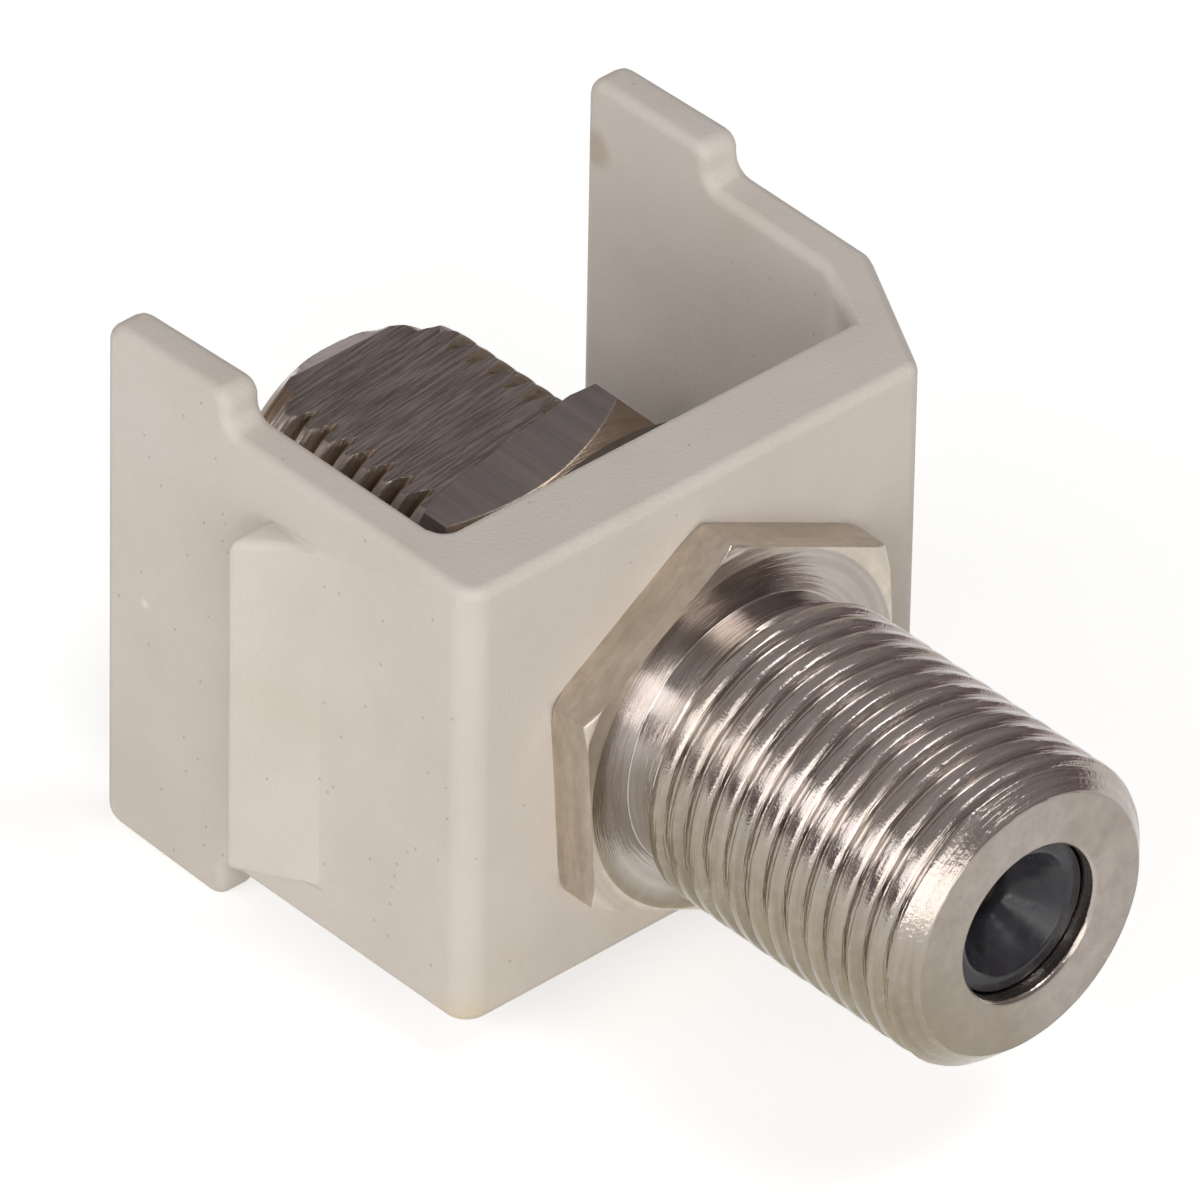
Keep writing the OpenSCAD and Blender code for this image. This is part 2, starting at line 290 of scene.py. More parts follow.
class EffectShelf:
    """The shared surface effects, each a node group that is built once."""

    def __init__(self) -> None:
        """Starts with no groups built."""
        self._made: dict[str, bpy.types.NodeTree] = {}

    def place(self, bench: NodeBench, name: str, **inputs: object) -> bpy.types.Node:
        """Puts one shared effect in a material.

        Args:
            bench: The material's bench.
            name: Name of the effect, one of this shelf's methods.
            inputs: Values or sockets for the effect's inputs, with _ for a space.

        Returns:
            The group node.
        """
        if name not in self._made:
            self._made[name] = getattr(self, name)()
        made = bench.add("ShaderNodeGroup", node_tree=self._made[name])
        for key, value in inputs.items():
            bench.feed(made.inputs[key.replace("_", " ")], value)
        return made

    @staticmethod
    def _open(
        name: str, inputs: dict[str, float], outputs: tuple[str, ...]
    ) -> tuple[NodeBench, bpy.types.Node, bpy.types.Node]:
        """Makes an empty group with named float sockets.

        Args:
            name: Name of the group.
            inputs: Default value of each float input.
            outputs: Names of the float outputs.

        Returns:
            The group's bench, its input node and its output node.
        """
        tree = bpy.data.node_groups.new(name, "ShaderNodeTree")
        for key, value in inputs.items():
            made = tree.interface.new_socket(name=key, in_out="INPUT", socket_type="NodeSocketFloat")
            made.default_value = value
        for key in outputs:
            tree.interface.new_socket(name=key, in_out="OUTPUT", socket_type="NodeSocketFloat")
        bench = NodeBench(tree)
        return bench, bench.add("NodeGroupInput"), bench.add("NodeGroupOutput")

    def moulded_grain(self) -> bpy.types.NodeTree:
        """Fine spark-eroded grain and small dark inclusions of moulded plastic.

        Returns:
            A group with Height, Specks and Mottle outputs.
        """
        bench, given, out = self._open(
            "moulded_grain",
            {"Grain Scale": 9000.0, "Speck Scale": 2400.0, "Speck Share": 0.05},
            ("Height", "Specks", "Mottle"),
        )
        point = bench.object_point()
        fine = bench.noise(point, given.outputs["Grain Scale"], 2.0)
        bench.wire(bench.ramp(fine, 0.25, 0.75), out.inputs["Height"])
        cells = bench.add("ShaderNodeTexVoronoi")
        bench.wire(point, cells.inputs["Vector"])
        bench.wire(given.outputs["Speck Scale"], cells.inputs["Scale"])
        near = bench.ramp(cells.outputs["Distance"], 0.05, 0.16, 1.0, 0.0)
        chosen = bench.axes(cells.outputs["Color"])[0]
        rare = bench.maths("LESS_THAN", chosen, given.outputs["Speck Share"])
        bench.wire(bench.times(near, rare), out.inputs["Specks"])
        bench.wire(bench.noise(point, 260.0, 4.0, 0.6), out.inputs["Mottle"])
        return bench.tree

    def turning_marks(self) -> bpy.types.NodeTree:
        """Tool marks that run round the barrel's axis, on shanks and faces alike.

        Returns:
            A group with Height and Streak outputs.
        """
        bench, given, out = self._open(
            "turning_marks", {"Line Scale": 12000.0, "Wander": 0.06}, ("Height", "Streak")
        )
        x, y, z = bench.axes(bench.object_point())
        wander = bench.times(bench.plus(x, z), given.outputs["Wander"])
        along = bench.vector(bench.off_axis(x, z), y, wander)
        fine = bench.noise(along, given.outputs["Line Scale"])
        bench.wire(bench.ramp(fine, 0.3, 0.7), out.inputs["Height"])
        bench.wire(bench.noise(along, 2600.0, 4.0, 0.65), out.inputs["Streak"])
        return bench.tree

    def drag_marks(self) -> bpy.types.NodeTree:
        """Straight scratches along one direction of the part's own frame.

        Returns:
            A group with Height and Streak outputs.
        """
        bench, given, out = self._open(
            "drag_marks", {"Turn": 0.0, "Across Scale": 9000.0, "Along Scale": 500.0}, ("Height", "Streak")
        )
        turned = bench.add("ShaderNodeVectorRotate", rotation_type="Z_AXIS")
        bench.wire(bench.object_point(), turned.inputs["Vector"])
        bench.wire(given.outputs["Turn"], turned.inputs["Angle"])
        x, y, z = bench.axes(turned.outputs[0])
        across = given.outputs["Across Scale"]
        grid = bench.vector(
            bench.times(x, across),
            bench.times(y, given.outputs["Along Scale"]),
            bench.times(z, across),
        )
        bench.wire(bench.ramp(bench.noise(grid, 1.0, 4.0, 0.6), 0.25, 0.75), out.inputs["Height"])
        bench.wire(bench.noise(grid, 0.28, 5.0, 0.7), out.inputs["Streak"])
        return bench.tree

    def tarnish(self) -> bpy.types.NodeTree:
        """Patches where plating has dulled, with a finer mottle inside them.

        Returns:
            A group with Patch and Mottle outputs.
        """
        bench, given, out = self._open("tarnish", {"Patch Scale": 420.0}, ("Patch", "Mottle"))
        point = bench.object_point()
        large = bench.noise(point, given.outputs["Patch Scale"], 5.0, 0.62)
        bench.wire(bench.ramp(large, 0.42, 0.68), out.inputs["Patch"])
        bench.wire(bench.noise(point, 2200.0, 3.0, 0.6), out.inputs["Mottle"])
        return bench.tree

    def local_spot(self) -> bpy.types.NodeTree:
        """A ragged round mark at one place of the part.

        Returns:
            A group with a Mask output.
        """
        bench, given, out = self._open(
            "local_spot", {"At X": 0.0, "At Y": 0.0, "At Z": 0.0, "Radius": 0.001, "Ragged": 0.5}, ("Mask",)
        )
        point = bench.object_point()
        place = bench.vector(given.outputs["At X"], given.outputs["At Y"], given.outputs["At Z"])
        apart = bench.add("ShaderNodeVectorMath", operation="DISTANCE")
        bench.wire(point, apart.inputs[0])
        bench.wire(place, apart.inputs[1])
        share = bench.maths("DIVIDE", apart.outputs["Value"], given.outputs["Radius"])
        ragged = bench.maths("SUBTRACT", bench.noise(point, 1400.0, 4.0, 0.6), 0.5)
        rough = bench.times(ragged, given.outputs["Ragged"])
        bench.wire(bench.ramp(bench.plus(share, rough), 0.35, 1.0, 1.0, 0.0), out.inputs["Mask"])
        return bench.tree

    def thread_lie(self) -> bpy.types.NodeTree:
        """How deep in the thread's groove a point lies, from its radius.

        Returns:
            A group with Root and Edge outputs.
        """
        bench, given, out = self._open(
            "thread_lie", {"Crest Radius": 0.0047, "Depth": 0.0004}, ("Root", "Edge")
        )
        x, _, z = bench.axes(bench.object_point())
        below = bench.maths("SUBTRACT", given.outputs["Crest Radius"], bench.off_axis(x, z))
        sunk = bench.maths("DIVIDE", below, given.outputs["Depth"])
        bench.wire(bench.ramp(sunk, 0.35, 1.0), out.inputs["Root"])
        edge = bench.times(bench.ramp(sunk, 0.0, 0.05), bench.ramp(sunk, 0.12, 0.35, 1.0, 0.0))
        bench.wire(edge, out.inputs["Edge"])
        return bench.tree


SHELF = EffectShelf()


@dataclass(frozen=True)
class Finish:
    """What every finish shares: its name and its plain roughness."""

    name: str
    roughness: float

    def start(self) -> tuple[bpy.types.Material, NodeBench, bpy.types.Node]:
        """Makes an empty material with one Principled shader.

        Returns:
            The material, its bench and its shader.
        """
        material = bpy.data.materials.new(self.name)
        material.use_nodes = True
        bench = NodeBench(material.node_tree)
        shader = material.node_tree.nodes["Principled BSDF"]
        shader.inputs["Roughness"].default_value = self.roughness
        return material, bench, shader

    @staticmethod
    def bump(
        bench: NodeBench, shader: bpy.types.Node, height: object, distance: float, strength: object = 1.0
    ) -> None:
        """Raises the surface by a height value, on top of any bump it already has.

        Args:
            bench: The material's bench.
            shader: The Principled shader.
            height: Height socket, 0 to 1.
            distance: Height of a full step, in metres.
            strength: Share of the effect, a number or a socket.
        """
        made = bench.add("ShaderNodeBump")
        made.inputs["Distance"].default_value = distance
        bench.feed(made.inputs["Strength"], strength)
        bench.feed(made.inputs["Height"], height)
        for link in shader.inputs["Normal"].links:
            bench.wire(link.from_socket, made.inputs["Normal"])
        bench.wire(made.outputs["Normal"], shader.inputs["Normal"])


@dataclass(frozen=True)
class Spot:
    """One small mark: its place in millimetres, its size, its colour and its share."""

    at: Colour
    radius: float
    colour: Colour
    share: float


@dataclass(frozen=True)
class AlmondPlastic(Finish):
    """Matte almond moulding with a fine grain, a few inclusions and handling marks."""

    base: Colour = (0.76, 0.69, 0.625)
    deep: Colour = (0.72, 0.645, 0.565)
    speck: Colour = (0.23, 0.16, 0.10)
    spots: tuple[Spot, ...] = ()

    def material(self) -> bpy.types.Material:
        """Builds the material.

        Returns:
            The material.
        """
        material, bench, shader = self.start()
        grain = SHELF.place(bench, "moulded_grain")
        tint = bench.mix(bench.ramp(grain.outputs["Mottle"], 0.3, 0.8), self.base, self.deep)
        tint = bench.mix(bench.times(grain.outputs["Specks"], 0.4), tint, self.speck)
        for spot in self.spots:
            place = {f"At_{axis}": value * MM for axis, value in zip("XYZ", spot.at)}
            mark = SHELF.place(bench, "local_spot", Radius=spot.radius * MM, **place)
            tint = bench.mix(bench.times(mark.outputs["Mask"], spot.share), tint, spot.colour)
        bench.wire(tint, shader.inputs["Base Color"])
        sheen = bench.ramp(grain.outputs["Mottle"], 0.2, 0.8, self.roughness - 0.06, self.roughness + 0.06)
        bench.wire(sheen, shader.inputs["Roughness"])
        shader.inputs["Specular IOR Level"].default_value = 0.35
        self.bump(bench, shader, grain.outputs["Height"], 0.012 * MM, 0.6)
        return material


@dataclass
class Coat:
    """A metal surface in the making: where a point lies and what it is like so far."""

    bench: NodeBench
    x: Socket
    y: Socket
    z: Socket
    radius: Socket
    mottle: Socket
    tint: Socket
    height: Socket
    streak: Socket
    rough: object

    def lay(
        self, share: Socket, tint: object = None, marks: bpy.types.Node | None = None, rougher: float = 0.0
    ) -> None:
        """Lays an effect over part of the surface.

        Args:
            share: Where the effect is, 0 to 1.
            tint: Its colour or socket, or None to keep the colour.
            marks: Effect whose height and streaks replace the present ones, or None.
            rougher: What it adds to the roughness.
        """
        bench = self.bench
        if tint is not None:
            self.tint = bench.mix(share, self.tint, tint)
        if marks is not None:
            self.height = bench.either(share, self.height, marks.outputs["Height"])
            self.streak = bench.either(share, self.streak, marks.outputs["Streak"])
        if rougher:
            self.rough = bench.plus(bench.times(share, rougher), self.rough)


@dataclass(frozen=True)
class PlatedBrass(Finish):
    """Nickel plate over turned brass, with painted yellowish shade on its lower side and painted shade in its
    grooves.

    Lengths are in millimetres. A limit that is None leaves its effect out.
    """

    base: Colour = (0.45, 0.40, 0.372)
    tarnish: Colour = (0.31, 0.26, 0.185)
    # Painted yellowish shade on the lower left side.
    painted_low_shade: Colour = (0.28, 0.237, 0.162)
    # root and root_share set the colour and share of the painted shade in the thread's grooves; the end face
    # also takes a quarter of that colour.
    root: Colour = (0.30, 0.26, 0.21)
    root_share: float = 0.3
    crest_radius: float = 4.7
    thread_depth: float = 0.4
    mark_depth: float = 0.010
    burr: float = 0.0
    drag: bool = False
    flat_height: float | None = None
    flat_end: float = 15.1
    flat_tint: Colour = (0.20, 0.168, 0.15)
    flat_pale: Colour = (0.37, 0.32, 0.295)
    flat_lay: float = 83.0
    # Painted highlight on top of the nose and painted shade on its side.
    nose_painted_highlight: Colour = (0.80, 0.74, 0.72)
    nose_painted_shade: Colour = (0.15, 0.125, 0.11)
    cone_offset: float | None = None
    # Painted warm reflection on the nut's cone.
    cone_painted_reflection: Colour = (0.34, 0.25, 0.17)
    # Painted highlight on the neck and flange, on their left side, from bright_from near radius bright_r.
    bright_from: float | None = None
    bright_r: float = 5.2
    neck_painted_highlight: Colour = (0.63, 0.59, 0.565)
    side_r: float | None = None
    side_tint: Colour = (0.71, 0.64, 0.56)
    face_y: float | None = None
    edge_width: float = 0.72
    chip_depth: float = 0.0

    def material(self) -> bpy.types.Material:
        """Builds the material.

        Returns:
            The material.
        """
        material, bench, shader = self.start()
        shader.inputs["Metallic"].default_value = 1.0
        turned = SHELF.place(bench, "turning_marks")
        dull = SHELF.place(bench, "tarnish")
        crest, depth = self.crest_radius * MM, self.thread_depth * MM
        lie = SHELF.place(bench, "thread_lie", Crest_Radius=crest, Depth=depth)
        coat = self._plain_coat(bench, turned, dull, lie)
        if self.flat_height is not None:
            self._mill_flat(coat)
        if self.cone_offset is not None:
            self._turn_cone(coat, turned)
        if self.bright_from is not None:
            self._brighten_neck(coat)
        if self.side_r is not None:
            self._dull_sides(coat)
        if self.face_y is not None:
            self._even_face(coat)
        light = bench.ramp(coat.streak, 0.25, 0.75, 0.82, 1.1)
        shade = bench.add("ShaderNodeMix", data_type="RGBA", blend_type="MULTIPLY")
        shade.inputs["Factor"].default_value = 1.0
        bench.wire(coat.tint, shade.inputs[6])
        bench.wire(bench.vector(light, light, light), shade.inputs[7])
        bench.wire(shade.outputs[2], shader.inputs["Base Color"])
        worn = bench.times(dull.outputs["Patch"], 0.1)
        worn = bench.plus(worn, bench.ramp(coat.streak, 0.2, 0.8, -0.04, 0.06))
        bench.wire(bench.plus(worn, coat.rough), shader.inputs["Roughness"])
        self.bump(bench, shader, coat.height, self.mark_depth * MM, 0.5)
        if self.burr > 0:
            burrs = bench.noise(bench.object_point(), 14000.0, 2.0)
            self.bump(bench, shader, burrs, self.burr * MM, lie.outputs["Edge"])
        if self.chip_depth > 0:
            chips = bench.noise(bench.object_point(), 7000.0)
            self.bump(bench, shader, chips, self.chip_depth * MM, self._on_front_edge(coat))
        return material

    def _plain_coat(
        self, bench: NodeBench, turned: bpy.types.Node, dull: bpy.types.Node, lie: bpy.types.Node
    ) -> Coat:
        """The plating as it is all over the piece.

        Args:
            bench: The material's bench.
            turned: The turning marks.
            dull: The tarnish.
            lie: How deep a point lies in the thread.

        Returns:
            The coat.
        """
        x, y, z = bench.axes(bench.object_point())
        mottle = dull.outputs["Mottle"]
        tint = bench.mix(bench.times(dull.outputs["Patch"], 0.2), self.base, self.tarnish)
        # Painted yellowish shade, growing towards the lower left side and broken up by the mottle.
        lean = bench.plus(bench.times(x, -0.75), bench.times(z, -0.65))
        below = bench.ramp(lean, 0.5 * MM, 4.4 * MM, 0.0, 0.9)
        below = bench.times(below, bench.ramp(mottle, 0.1, 0.6, 0.5, 1.0))
        tint = bench.mix(below, tint, self.painted_low_shade)
        # Painted shade in the thread's grooves, by depth below the crest.
        tint = bench.mix(bench.times(lie.outputs["Root"], self.root_share), tint, self.root)
        marks = SHELF.place(bench, "drag_marks") if self.drag else turned
        height, streak = marks.outputs["Height"], marks.outputs["Streak"]
        return Coat(bench, x, y, z, bench.off_axis(x, z), mottle, tint, height, streak, self.roughness)

    def _mill_flat(self, coat: Coat) -> None:
        """Adds the cutter's lines on the flat, and beyond its end a painted highlight on the nose's top and
        painted shade at its side.
        """
        bench, lay = coat.bench, math.radians(self.flat_lay)
        milled = SHELF.place(bench, "drag_marks", Turn=lay, Across_Scale=45000.0, Along_Scale=2200.0)
        low, end, soft = self.flat_height * MM, self.flat_end * MM, 0.05 * MM
        on_flat = bench.ramp(coat.z, low - 0.02 * MM, low - 0.002 * MM)
        on_flat = bench.times(on_flat, bench.ramp(coat.y, end - soft, end, 1.0, 0.0))
        lines = bench.ramp(milled.outputs["Streak"], 0.35, 0.66)
        coat.lay(on_flat, bench.mix(lines, self.flat_tint, self.flat_pale), milled)
        # Beyond the flat's end the nose gets a painted highlight on top and painted shade on its side, by
        # height.
        level = bench.ramp(coat.z, low - 0.35 * MM, low - 0.1 * MM)
        nose = bench.mix(level, self.nose_painted_shade, self.nose_painted_highlight)
        coat.lay(bench.ramp(coat.y, end - soft, end), nose)

    def _turn_cone(self, coat: Coat, turned: bpy.types.Node) -> None:
        """Adds the cone's painted warm reflection, with tool marks that run round."""
        edge = self.cone_offset * MM
        apart = coat.bench.maths("SUBTRACT", coat.y, coat.radius)
        on_cone = coat.bench.ramp(apart, edge - 0.01 * MM, edge + 0.02 * MM, 1.0, 0.0)
        # The cone's gold colour is a painted reflection of the warm plastic nearby.
        coat.lay(on_cone, self.cone_painted_reflection, turned)

    def _brighten_neck(self, coat: Coat) -> None:
        """Adds a painted highlight on the neck and on the flange beside it, on their left side, with a little
        less roughness there.
        """
        bench, start, rim = coat.bench, self.bright_from * MM, self.bright_r * MM
        near = bench.ramp(coat.radius, rim - 0.3 * MM, rim + 0.3 * MM, 1.0, 0.0)
        near = bench.times(near, bench.ramp(coat.x, -3.2 * MM, -1.4 * MM, 1.0, 0.0))
        near = bench.times(near, bench.ramp(coat.z, 0.4 * MM, 1.7 * MM, 0.55, 1.0))
        on_neck = bench.times(near, bench.ramp(coat.y, start, start + 0.25 * MM))
        # Painted highlight on the left side of the neck and flange.
        coat.lay(on_neck, self.neck_painted_highlight, rougher=-0.03)

    def _dull_sides(self, coat: Coat) -> None:
        """Adds the matte, tarnished sides of the hexagon."""
        bench, edge = coat.bench, self.side_r * MM
        on_side = bench.ramp(coat.radius, edge - 0.06 * MM, edge - 0.01 * MM)
        side = bench.mix(bench.times(coat.mottle, 0.5), self.side_tint, self.tarnish)
        coat.lay(on_side, side, rougher=0.2)

    def _even_face(self, coat: Coat) -> None:
        """Adds the matte end face, which shows no turning marks."""
        bench, face = coat.bench, self.face_y * MM
        on_face = bench.ramp(coat.y, face + 0.01 * MM, face + 0.04 * MM, 1.0, 0.0)
        faint = bench.ramp(coat.mottle, 0.2, 0.8, 0.35, 0.65)
        coat.streak = bench.either(on_face, coat.streak, faint)
        coat.height = bench.either(on_face, coat.height, coat.mottle)
        coat.lay(on_face, rougher=0.26)
        # The end face is darkened a quarter of the way to the root colour.
        coat.lay(bench.times(on_face, 0.25), self.root)

    def _on_front_edge(self, coat: Coat) -> Socket:
        """The bevel behind the end face, where the plating is chipped."""
        bench, start, end = coat.bench, (self.face_y + 0.04) * MM, (self.face_y + self.edge_width) * MM
        before_end = bench.ramp(coat.y, end, end + 0.1 * MM, 1.0, 0.0)
        return bench.times(bench.ramp(coat.y, start, start + 0.06 * MM), before_end)


@dataclass(frozen=True)
class EvenFinish(Finish):
    """A surface that is alike all over: faint turning marks and patches of a second colour."""

    base: Colour
    patch: Colour
    metallic: float = 1.0
    specular: float = 0.5
    line_scale: float = 12000.0
    patch_scale: float = 700.0
    smoothest: float = 0.06
    roughest: float = 0.1
    mark_depth: float = 0.006

    def material(self) -> bpy.types.Material:
        """Builds the material.

        Returns:
            The material.
        """
        material, bench, shader = self.start()
        shader.inputs["Metallic"].default_value = self.metallic
        shader.inputs["Specular IOR Level"].default_value = self.specular
        turned = SHELF.place(bench, "turning_marks", Line_Scale=self.line_scale)
        dull = SHELF.place(bench, "tarnish", Patch_Scale=self.patch_scale)
        bench.wire(bench.mix(dull.outputs["Patch"], self.base, self.patch), shader.inputs["Base Color"])
        low, high = self.roughness - self.smoothest, self.roughness + self.roughest
        bench.wire(bench.ramp(dull.outputs["Mottle"], 0.3, 0.7, low, high), shader.inputs["Roughness"])
        self.bump(bench, shader, turned.outputs["Height"], self.mark_depth * MM, 0.5)
        return material


@dataclass(frozen=True)
class InsulatorPlastic(EvenFinish):
    """Smooth dark insulator with faint flow marks."""

    base: Colour = (0.022, 0.021, 0.026)
    patch: Colour = (0.043, 0.041, 0.050)
    metallic: float = 0.0
    specular: float = 0.38
    line_scale: float = 5000.0
    patch_scale: float = 900.0
    smoothest: float = 0.05
    roughest: float = 0.08
    mark_depth: float = 0.004


@dataclass(frozen=True)
class SpringBronze(EvenFinish):
    """Plated spring bronze of the contact."""

    base: Colour = (0.60, 0.47, 0.24)
    patch: Colour = (0.33, 0.24, 0.12)


@dataclass(frozen=True)
class PlatedSteel(EvenFinish):
    """Dull plated steel of the lock washer."""

    base: Colour = (0.17, 0.14, 0.12)
    patch: Colour = (0.10, 0.08, 0.06)


# Mesh building


def arc(start: np.ndarray, knee: np.ndarray, end: np.ndarray, steps: int) -> list[np.ndarray]:
    """Points along the curve that rounds a corner.

    Args:
        start: Where the curve begins.
        knee: The corner.
        end: Where the curve ends.
        steps: Number of points.

    Returns:
        The points.
    """
    shares = np.linspace(0.0, 1.0, steps)
    return [(1 - t) ** 2 * start + 2 * t * (1 - t) * knee + t * t * end for t in shares]


def show(name: str, data: bpy.types.ID, sharp: float | None = None) -> bpy.types.Object:
    """Puts a mesh, lamp or camera in the scene.

    Args:
        name: The object's name.
        data: Its mesh, lamp or camera data.
        sharp: Angle in degrees above which an edge stays crisp, or None for flat faces.

    Returns:
        The object.
    """
    thing = bpy.data.objects.new(name, data)
    bpy.context.scene.collection.objects.link(thing)
    if sharp is not None:
        data.shade_smooth()
        data.set_sharp_from_angle(angle=math.radians(sharp))
        thing.modifiers.new("even_normals", "WEIGHTED_NORMAL").keep_sharp = True
    return thing


@dataclass
class RingMesh:
    """A surface of rings about the barrel's axis, patch by patch.

    A ring is a pair of arrays: the radius and the station along Y of each column.
    """

    columns: int = 240
    turn: float = 0.0
    weld: float = 0.0004
    points: list[np.ndarray] = field(default_factory=list)
    faces: list[tuple[int, ...]] = field(default_factory=list)
    count: int = 0

    @property
    def angles(self) -> np.ndarray:
        """Angle of each column from +X towards +Z."""
        return np.radians(self.turn) + np.arange(self.columns) * 2 * math.pi / self.columns

    def hexagon(
        self, across_flats: float, flat_angle: float, reach: float, slope: float
    ) -> tuple[np.ndarray, np.ndarray, np.ndarray]:
        """A hexagon whose corners are turned back.

        Args:
            across_flats: Distance across its flats.
            flat_angle: Angle in degrees that one flat faces.
            reach: How far in from its corners they are turned back.
            slope: How far back they go for each millimetre outwards.

        Returns:
            At each column its radius, the radius of its flat face, and how far back its edge lies.
        """
        off = (np.degrees(self.angles) - flat_angle + 30.0) % 60.0 - 30.0
        radius = across_flats / 2 / np.cos(np.radians(off))
        face = across_flats / math.sqrt(3) - reach
        return radius, np.minimum(radius, face), np.maximum(radius - face, 0.0) * slope

    def rounded(self, rings: list[Ring], radii: list[float], steps: int) -> list[Ring]:
        """Rounds the edges of a run of rings.

        Args:
            rings: The rings, in order along the section.
            radii: Edge radius at each ring, 0 to keep it sharp.
            steps: Rings that replace a rounded one.

        Returns:
            The new run of rings.
        """
        done: list[Ring] = []
        for i, (ring, radius) in enumerate(zip(rings, radii)):
            if radius <= 0 or i in (0, len(rings) - 1):
                done.append(ring)
                continue
            here = np.stack(ring)
            ends = []
            for other in (rings[i - 1], rings[i + 1]):
                way = np.stack(other) - here
                length = np.maximum(np.linalg.norm(way, axis=0), 1e-9)
                ends.append(here + way * np.minimum(radius / length, 0.45))
            done += [tuple(bent) for bent in arc(ends[0], here, ends[1], steps)]
        return done

    def lay(
        self, section: Section, radii: list[float] | None = None, steps: int = 4, flat: float | None = None
    ) -> None:
        """Adds a patch that joins each ring of a section to the next.

        Args:
            section: Radius and station of each ring, one number or one for each column, with the
                outside on the right hand.
            radii: Edge radius at each ring, 0 to keep it sharp, or None for sharp edges only.
            steps: Rings that replace a rounded one.
            flat: Height at which a milled flat cuts the patch, or None.
        """
        level = np.zeros(self.columns)
        rings = [(radius + level, station + level) for radius, station in section]
        if radii is not None:
            rings = self.rounded(rings, radii, steps)
        first = self.count
        for radius, station in rings:
            self._put(radius, station, self.angles, flat)
        n = self.columns
        for a in range(first, self.count - n, n):
            self._span(a, a + n)
            self.faces.append((a + n - 1, a + n + n - 1, a + n, a))

    def _put(
        self, radius: np.ndarray, station: np.ndarray, angle: np.ndarray, flat: float | None
    ) -> None:
        """Adds one row of points.

        Args:
            radius: Radius of each point.
            station: Place of each point along Y.
            angle: Angle of each point.
            flat: Height of the milled flat, or None.
        """
        x, z = radius * np.cos(angle), radius * np.sin(angle)
        if flat is not None:
            z = np.minimum(z, flat)
        self.points.append(np.stack([x, station, z], 1))
        self.count += len(angle)

    def screw(
        self, thread: "ThreadForm", y0: float, y1: float, limit: "Envelope", flat: float | None = None
    ) -> None:
        """Adds a helical thread between two stations.

        The rows follow the helix, so every crest and root is a clean line. Points
        past either end are drawn back to it, where the thread has run out.

        Args:
            thread: The thread's form.
            y0: First station.
            y1: Last station, greater than y0.
            limit: Radius of the blank at any station, and the thread's fade.
            flat: Height of the milled flat, or None.
        """
        shares, heights = thread.section()
        rows = len(shares)
        turns = int(math.ceil((y1 - y0) / thread.pitch)) + 2
        first = self.count
        angle = self.angles
        lead = np.arange(self.columns) / self.columns
        total = (turns + 1) * rows + 1
        for k in range(total):
            lap, part = divmod(k, rows)
            station = y0 + thread.pitch * (lap - 2 + shares[part] + lead)
            held = np.clip(station, y0, y1)
            depth = thread.depth * (1.0 - heights[part]) * limit.fade(held)
            worn = thread.wear * limit.fade(held) * thread.ripple(k, self.columns)
            worn = worn * (heights[part] > thread.worn_above)
            radius = np.minimum(thread.crest - depth - worn, limit.blank(held))
            radius = np.where((station <= y0) | (station >= y1), limit.blank(held), radius)
            self._put(radius, held, angle, flat)
        n = self.columns
        for a in range(first, self.count - n, n):
            self._span(a, a + n)
            next_turn = a + rows * n
            if next_turn + n < self.count:
                self.faces.append((a + n - 1, a + n + n - 1, next_turn + n, next_turn))

    def _span(self, a: int, b: int) -> None:
        """Joins one row of points to the next, all but the last column to the first.

        Args:
            a: Index of the first row's first point.
            b: Index of the second row's first point.
        """
        self.faces += [(a + c, b + c, b + c + 1, a + c + 1) for c in range(self.columns - 1)]

    def make(self, name: str, sharp: float = 35.0) -> bpy.types.Object:
        """Turns the patches into an object.

        Args:
            name: The object's name.
            sharp: Angle in degrees above which an edge stays crisp.

        Returns:
            The object, linked to the scene.
        """
        mesh = bpy.data.meshes.new(name)
        mesh.from_pydata((np.concatenate(self.points) * MM).tolist(), [], self.faces)
        made = bmesh.new()
        made.from_mesh(mesh)
        bmesh.ops.remove_doubles(made, verts=made.verts, dist=self.weld * MM)
        bmesh.ops.recalc_face_normals(made, faces=made.faces)
        made.to_mesh(mesh)
        made.free()
        return show(name, mesh, sharp)


@dataclass(frozen=True)
class ThreadForm:
    """A 60 degree thread whose crests are flattened, in millimetres."""

    crest: float
    depth: float
    pitch: float = 25.4 / 32
    crest_share: float = 0.48
    root_share: float = 0.10
    crest_ease: float = 0.10
    root_ease: float = 0.04
    wear: float = 0.02
    worn_above: float = 0.6
    seed: int = 7
    wear_run: int = 3
    most_rows: int = 1000

    def section(self) -> tuple[np.ndarray, np.ndarray]:
        """One pitch of the thread's outline, from the middle of a crest.

        Returns:
            The share of the pitch at each row, and the height there, 0 at the root.
        """
        flank = (1.0 - self.crest_share - self.root_share) / 2
        foot = self.crest_share + flank
        knots = np.array([
            (0.0, 1.0),
            (self.crest_share, 1.0),
            (foot, 0.0),
            (foot + self.root_share, 0.0),
            (1.0, 1.0),
            (1.0 + self.crest_share, 1.0),
        ])
        rows = [(self.crest_share / 2, 1.0)]
        crest, foot_bend = (self.crest_ease, 5), (self.root_ease, 3)
        for i, (ease, steps) in enumerate((crest, foot_bend, foot_bend, crest), start=1):
            before, here, after = knots[i - 1], knots[i], knots[i + 1]
            start = here + (before - here) * ease / abs(before[0] - here[0])
            end = here + (after - here) * ease / abs(after[0] - here[0])
            rows += arc(start, here, end, steps)
        share, height = np.array(rows).T
        return share, height

    def ripple(self, row: int, columns: int) -> np.ndarray:
        """Uneven wear along one row, smooth from column to column.

        Args:
            row: The row's number.
            columns: Points in the row.

        Returns:
            Values from 0 to 1.
        """
        rng = np.random.default_rng(self.seed * self.most_rows + row)
        coarse = rng.random(columns // self.wear_run + 2)
        return np.interp(np.arange(columns) / self.wear_run, np.arange(len(coarse)), coarse)


